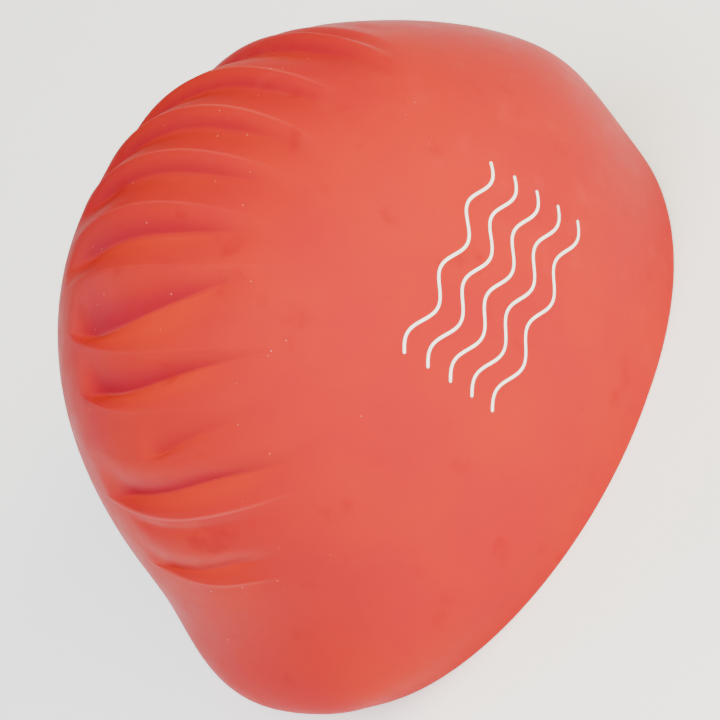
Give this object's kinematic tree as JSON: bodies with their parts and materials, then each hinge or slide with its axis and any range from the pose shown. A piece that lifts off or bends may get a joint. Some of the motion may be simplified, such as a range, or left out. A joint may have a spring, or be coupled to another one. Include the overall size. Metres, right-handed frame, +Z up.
{
  "type": "swim cap",
  "caption": "Pull-on moulded silicone swim cap that holds the hair in the water, with a domed crown gathered into soft folds, smooth sides and a plain trimmed rim.",
  "frame": {"origin": "middle of the cap's box, in the plane that the rim stands on", "axes": "+Z up out of the crown, -Y towards the brow, +Y towards the nape, +X towards the wearer's left"},
  "size_m": [0.1636, 0.217, 0.1419],
  "materials": {
    "silicone": "satin",
    "print": "satin"
  },
  "bodies": {
    "root": {"cap_shell": "silicone"}
  },
  "joints": []
}
